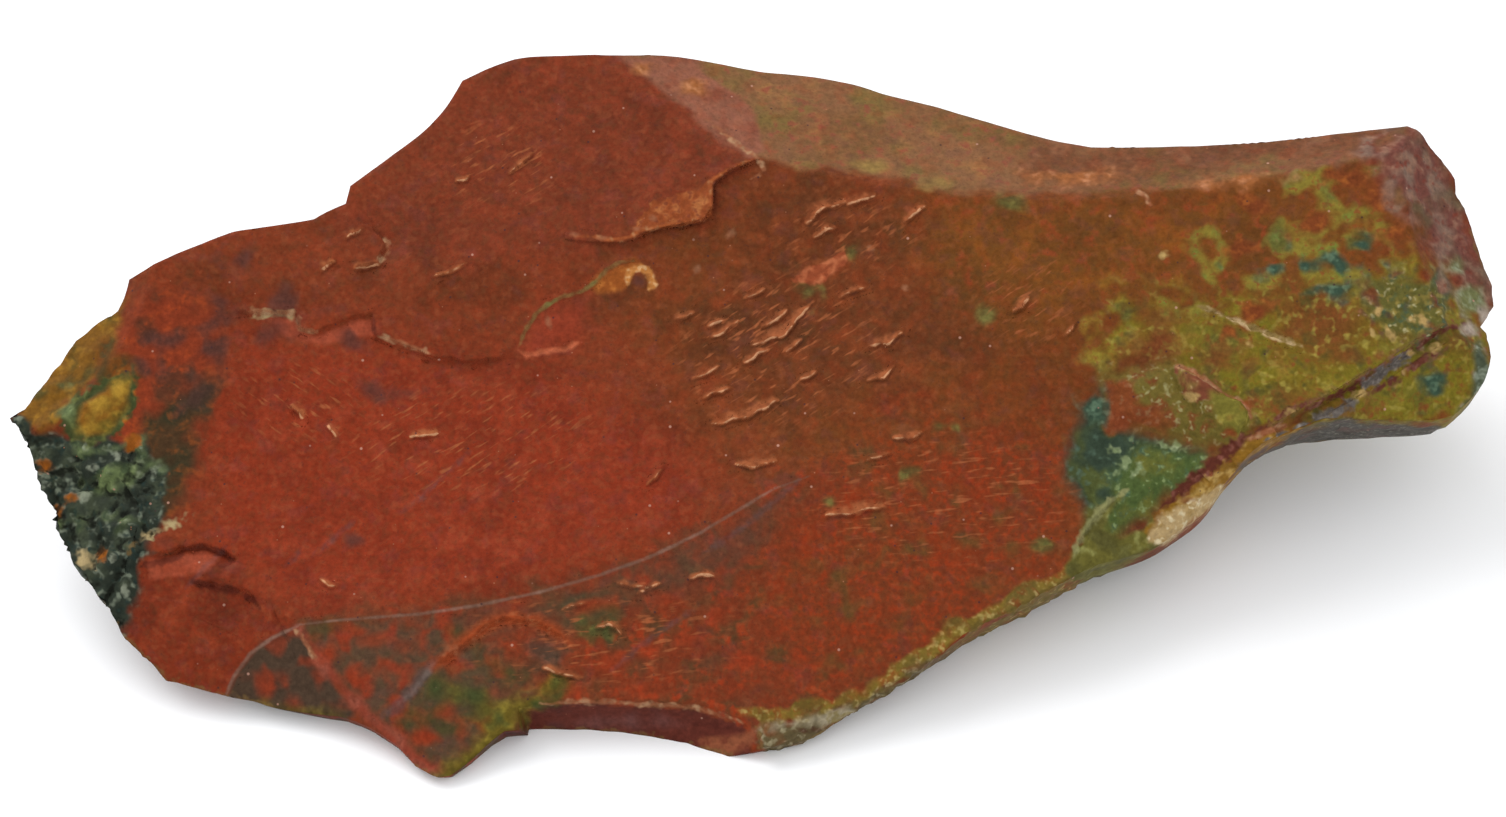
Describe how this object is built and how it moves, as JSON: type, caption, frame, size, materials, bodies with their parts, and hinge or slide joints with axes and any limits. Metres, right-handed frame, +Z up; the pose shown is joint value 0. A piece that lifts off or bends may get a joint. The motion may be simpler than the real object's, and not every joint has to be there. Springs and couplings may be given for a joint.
{
  "type": "rough jasper stone",
  "caption": "Rough unpolished chunk of red and olive jasper, long and thin, with broad shallow broken faces, a short step, a small spur and a narrower neck at one end.",
  "frame": {"origin": "centre of the footprint, on the flat scar that the stone rests on", "axes": "+X along the stone's length towards its narrower neck, +Y across it towards its thick back edge, +Z up"},
  "size_m": [0.1138, 0.0544, 0.0239],
  "materials": {
    "jasper": "dull waxy broken stone, dark red and brown, olive and green at the narrower end, dark green-black at the left tip"
  },
  "bodies": {
    "root": {"jasper_stone": "jasper"}
  },
  "joints": []
}
